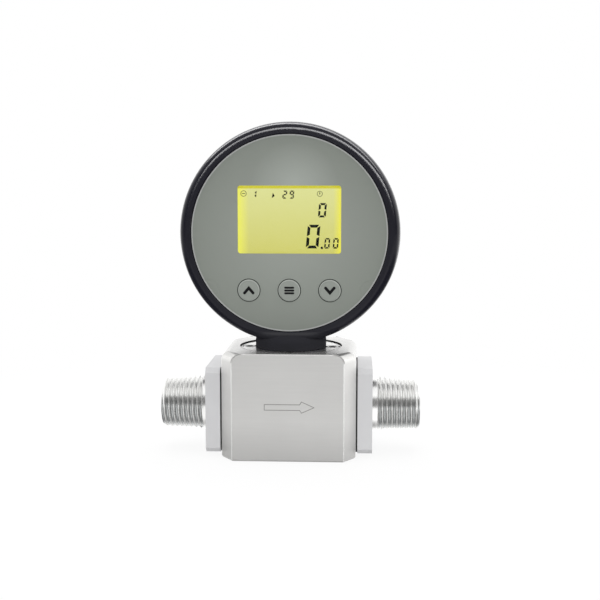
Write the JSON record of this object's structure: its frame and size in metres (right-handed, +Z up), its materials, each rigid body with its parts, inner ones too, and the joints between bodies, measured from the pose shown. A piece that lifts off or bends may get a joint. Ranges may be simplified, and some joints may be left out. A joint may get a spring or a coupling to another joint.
{
  "type": "gas mass flow meter",
  "caption": "Inline gas flow meter: machined block with square-flanged, taper-threaded pipe adapters and a round display head with embossed keys on a short neck.",
  "frame": {"origin": "centre of the flow body's underside, on which the meter stands", "axes": "+X along the flow from inlet to outlet, +Z up, the display faces -Y"},
  "size_m": [0.0982, 0.045, 0.1245],
  "materials": {
    "body_metal": "satin machined",
    "adapter_metal": "satin turned and milled",
    "flange_metal": "polished",
    "screw_metal": "satin",
    "gasket_rubber": "matt black",
    "seal_rubber": "matt black",
    "screen_metal": "satin",
    "flow_plastic": "matt white",
    "sensor_plastic": "matt black",
    "board_green": "satin green",
    "chip_black": "matt black",
    "connector_white": "matt white",
    "housing_black": "satin black",
    "overlay_grey": "fine matt film",
    "film_amber": "clear amber film",
    "dome_metal": "bright",
    "window_clear": "clear",
    "panel_green": "lit yellow-green",
    "backlight_white": "clear moulding",
    "ribbon_grey": "matt",
    "cell_wrap": "shrink film"
  },
  "bodies": {
    "root": {"flow_body": "body_metal", "inlet_adapter": "adapter_metal", "outlet_adapter": "adapter_metal", "inlet_gasket": "gasket_rubber", "outlet_gasket": "gasket_rubber", "inlet_adapter_screws": "screw_metal", "outlet_adapter_screws": "screw_metal", "inlet_screen": "screen_metal", "outlet_screen": "screen_metal", "flow_straightener": "flow_plastic", "laminar_element": "screen_metal", "tap_seals": "seal_rubber", "sensor_insert": "sensor_plastic", "sensor_chip": "chip_black", "sensor_board": "board_green", "sensor_clamp_ring": "sensor_plastic", "sensor_connector": "connector_white", "mounting_flange": "flange_metal", "mounting_flange_screws": "screw_metal", "neck_screws": "screw_metal", "head_housing": "housing_black", "rear_cover": "housing_black", "rear_cover_seal": "seal_rubber", "rear_cover_screws": "screw_metal", "face_overlay": "overlay_grey", "keypad_circuit": "film_amber", "key_domes": "dome_metal", "lcd_window": "window_clear", "lcd_panel": "panel_green", "lcd_backlight": "backlight_white", "lcd_holder": "sensor_plastic", "main_board": "board_green", "board_screws": "screw_metal", "board_connector": "connector_white", "sensor_ribbon": "ribbon_grey", "battery_cell": "cell_wrap", "battery_holder": "sensor_plastic"}
  },
  "joints": []
}
